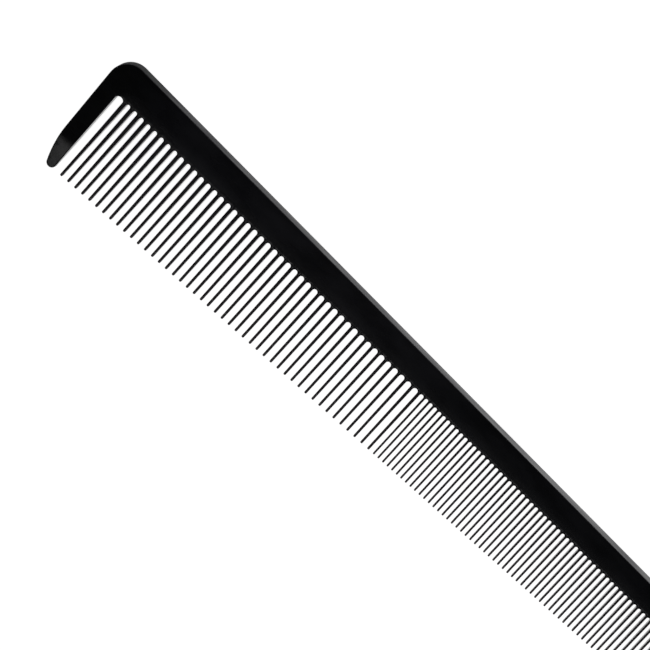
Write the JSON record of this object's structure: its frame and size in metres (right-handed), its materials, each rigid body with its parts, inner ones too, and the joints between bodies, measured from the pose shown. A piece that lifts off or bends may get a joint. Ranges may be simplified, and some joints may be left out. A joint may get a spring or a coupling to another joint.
{
  "type": "rat tail comb",
  "caption": "Flat salon comb: a tapering black plastic head with coarse and fine teeth between guard teeth, and a slim round steel tail pin held in a short metal ferrule.",
  "frame": {"origin": "centre of the whole comb's box, on its underside", "axes": "+X along the comb from the head's front guard tooth to the point of the tail, +Y towards the back edge (teeth point to -Y), +Z through the thickness, up from the face it lies on"},
  "size_m": [0.249, 0.023, 0.004],
  "materials": {
    "head_plastic": "satin",
    "ferrule_steel": "polished",
    "tail_steel": "ground"
  },
  "bodies": {
    "root": {"spine": "head_plastic", "front_guard_tooth": "head_plastic", "coarse_teeth": "head_plastic", "fine_teeth": "head_plastic", "heel_guard_tooth": "head_plastic", "neck_ferrule": "ferrule_steel", "tail_pin": "tail_steel"}
  },
  "joints": []
}
